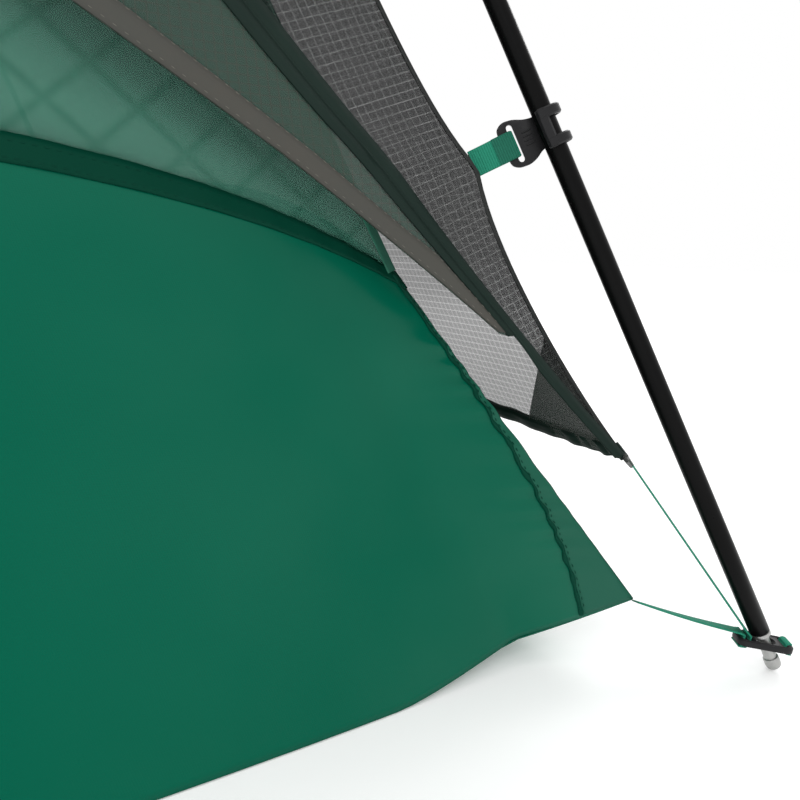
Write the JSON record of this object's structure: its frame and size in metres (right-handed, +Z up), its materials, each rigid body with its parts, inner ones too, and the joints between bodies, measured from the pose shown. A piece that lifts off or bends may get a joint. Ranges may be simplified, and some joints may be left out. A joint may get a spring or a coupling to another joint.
{
  "type": "tarp shelter",
  "caption": "Free-standing double-wall dome shelter with outside poles, clipped ripstop fly with swing-up doors, green inner tent and coated bathtub floor.",
  "frame": {"origin": "middle of the ground rectangle between the four pole feet, on the ground", "axes": "+X along the long sides, +Y towards the back long side, +Z up"},
  "size_m": [2.2522, 1.5128, 1.1119],
  "materials": {
    "anodised_tube": "black anodised aluminium tube, satin",
    "bare_metal": "turned bare aluminium",
    "black_plastic": "moulded black nylon, satin",
    "fly_cloth": "grey coated ripstop nylon",
    "door_cloth": "grey-green coated ripstop nylon",
    "tub_cloth": "green polyurethane coated nylon, soft gloss",
    "inner_cloth": "pale green breathable ripstop nylon",
    "webbing": "green ribbed webbing"
  },
  "bodies": {
    "root": {"pole_tip_front_right": "bare_metal", "pole_lower_front_right": "anodised_tube", "pole_upper_front_right": "anodised_tube", "clip_strap_low_front_right": "webbing", "clip_strap_high_front_right": "webbing", "fly_tape_front_right": "webbing", "floor_tape_front_right": "webbing", "pole_tip_back_right": "bare_metal", "pole_lower_back_right": "anodised_tube", "pole_upper_back_right": "anodised_tube", "clip_strap_low_back_right": "webbing", "clip_strap_high_back_right": "webbing", "fly_tape_back_right": "webbing", "floor_tape_back_right": "webbing", "pole_tip_back_left": "bare_metal", "pole_lower_back_left": "anodised_tube", "pole_upper_back_left": "anodised_tube", "clip_strap_low_back_left": "webbing", "clip_strap_high_back_left": "webbing", "fly_tape_back_left": "webbing", "floor_tape_back_left": "webbing", "pole_tip_front_left": "bare_metal", "pole_lower_front_left": "anodised_tube", "pole_upper_front_left": "anodised_tube", "clip_strap_low_front_left": "webbing", "clip_strap_high_front_left": "webbing", "fly_tape_front_left": "webbing", "floor_tape_front_left": "webbing", "pole_hub": "black_plastic", "fly_side_front": "fly_cloth", "fly_side_back": "fly_cloth", "fly_end_right": "fly_cloth", "fly_end_left": "fly_cloth", "inner_wall_front": "inner_cloth", "inner_wall_back": "inner_cloth", "inner_wall_right": "inner_cloth", "inner_wall_left": "inner_cloth", "floor_sheet": "tub_cloth", "tub_wall_front": "tub_cloth", "tub_wall_back": "tub_cloth", "tub_wall_right": "tub_cloth", "tub_wall_left": "tub_cloth"},
    "plate_front_right": {"foot_plate_front_right": "black_plastic"},
    "clip_low_front_right": {"clip_low_front_right": "black_plastic"},
    "clip_high_front_right": {"clip_high_front_right": "black_plastic"},
    "plate_back_right": {"foot_plate_back_right": "black_plastic"},
    "clip_low_back_right": {"clip_low_back_right": "black_plastic"},
    "clip_high_back_right": {"clip_high_back_right": "black_plastic"},
    "plate_back_left": {"foot_plate_back_left": "black_plastic"},
    "clip_low_back_left": {"clip_low_back_left": "black_plastic"},
    "clip_high_back_left": {"clip_high_back_left": "black_plastic"},
    "plate_front_left": {"foot_plate_front_left": "black_plastic"},
    "clip_low_front_left": {"clip_low_front_left": "black_plastic"},
    "clip_high_front_left": {"clip_high_front_left": "black_plastic"},
    "fly_door_front": {"fly_door_front": "door_cloth"},
    "fly_slider_front": {"fly_slider_front": "black_plastic"},
    "fly_door_back": {"fly_door_back": "door_cloth"},
    "fly_slider_back": {"fly_slider_back": "black_plastic"},
    "inner_door": {"inner_door": "inner_cloth"},
    "inner_slider": {"inner_slider": "black_plastic"}
  },
  "joints": [
    {"name": "foot_plate_slide_front_right", "type": "slide", "parent": "root", "child": "plate_front_right", "axis": [0.3824, -0.2561, -0.8878], "range_m": [0, 0.008]},
    {"name": "clip_low_turn_front_right", "type": "hinge", "parent": "root", "child": "clip_low_front_right", "pos_m": [1.01217, -0.67779, 0.25036], "axis": [-0.3824, 0.2561, 0.8878], "range_deg": [-6, 6]},
    {"name": "clip_high_turn_front_right", "type": "hinge", "parent": "root", "child": "clip_high_front_right", "pos_m": [0.6687, -0.44779, 0.81559], "axis": [-0.6446, 0.4316, 0.631], "range_deg": [-6, 6]},
    {"name": "foot_plate_slide_back_right", "type": "slide", "parent": "root", "child": "plate_back_right", "axis": [0.3824, 0.2561, -0.8878], "range_m": [0, 0.008]},
    {"name": "clip_low_turn_back_right", "type": "hinge", "parent": "root", "child": "clip_low_back_right", "pos_m": [1.01217, 0.67779, 0.25036], "axis": [-0.3824, -0.2561, 0.8878], "range_deg": [-6, 6]},
    {"name": "clip_high_turn_back_right", "type": "hinge", "parent": "root", "child": "clip_high_back_right", "pos_m": [0.6687, 0.44779, 0.81559], "axis": [-0.6446, -0.4316, 0.631], "range_deg": [-6, 6]},
    {"name": "foot_plate_slide_back_left", "type": "slide", "parent": "root", "child": "plate_back_left", "axis": [-0.3824, 0.2561, -0.8878], "range_m": [0, 0.008]},
    {"name": "clip_low_turn_back_left", "type": "hinge", "parent": "root", "child": "clip_low_back_left", "pos_m": [-1.01217, 0.67779, 0.25036], "axis": [0.3824, -0.2561, 0.8878], "range_deg": [-6, 6]},
    {"name": "clip_high_turn_back_left", "type": "hinge", "parent": "root", "child": "clip_high_back_left", "pos_m": [-0.6687, 0.44779, 0.81559], "axis": [0.6446, -0.4316, 0.631], "range_deg": [-6, 6]},
    {"name": "foot_plate_slide_front_left", "type": "slide", "parent": "root", "child": "plate_front_left", "axis": [-0.3824, -0.2561, -0.8878], "range_m": [0, 0.008]},
    {"name": "clip_low_turn_front_left", "type": "hinge", "parent": "root", "child": "clip_low_front_left", "pos_m": [-1.01217, -0.67779, 0.25036], "axis": [0.3824, 0.2561, 0.8878], "range_deg": [-6, 6]},
    {"name": "clip_high_turn_front_left", "type": "hinge", "parent": "root", "child": "clip_high_front_left", "pos_m": [-0.6687, -0.44779, 0.81559], "axis": [0.6446, 0.4316, 0.631], "range_deg": [-6, 6]},
    {"name": "fly_door_front_swing", "type": "hinge", "parent": "root", "child": "fly_door_front", "pos_m": [0, -0.30986, 0.92364], "axis": [-1, 0, 0], "range_deg": [0, 75]},
    {"name": "fly_slider_front_travel", "type": "slide", "parent": "root", "child": "fly_slider_front", "axis": [0.6265, 0.2385, 0.742], "range_m": [0, 0.22]},
    {"name": "fly_door_back_swing", "type": "hinge", "parent": "root", "child": "fly_door_back", "pos_m": [0, 0.30986, 0.92364], "axis": [1, 0, 0], "range_deg": [0, 75]},
    {"name": "fly_slider_back_travel", "type": "slide", "parent": "root", "child": "fly_slider_back", "axis": [-0.6265, -0.2385, 0.742], "range_m": [0, 0.22]},
    {"name": "inner_door_swing", "type": "hinge", "parent": "root", "child": "inner_door", "pos_m": [-0.38, -0.62346, 0.24643], "axis": [0, 0.3235, 0.9462], "range_deg": [0, 50]},
    {"name": "inner_slider_travel", "type": "slide", "parent": "root", "child": "inner_slider", "axis": [-1, 0, 0], "range_m": [0, 0.7]}
  ]
}
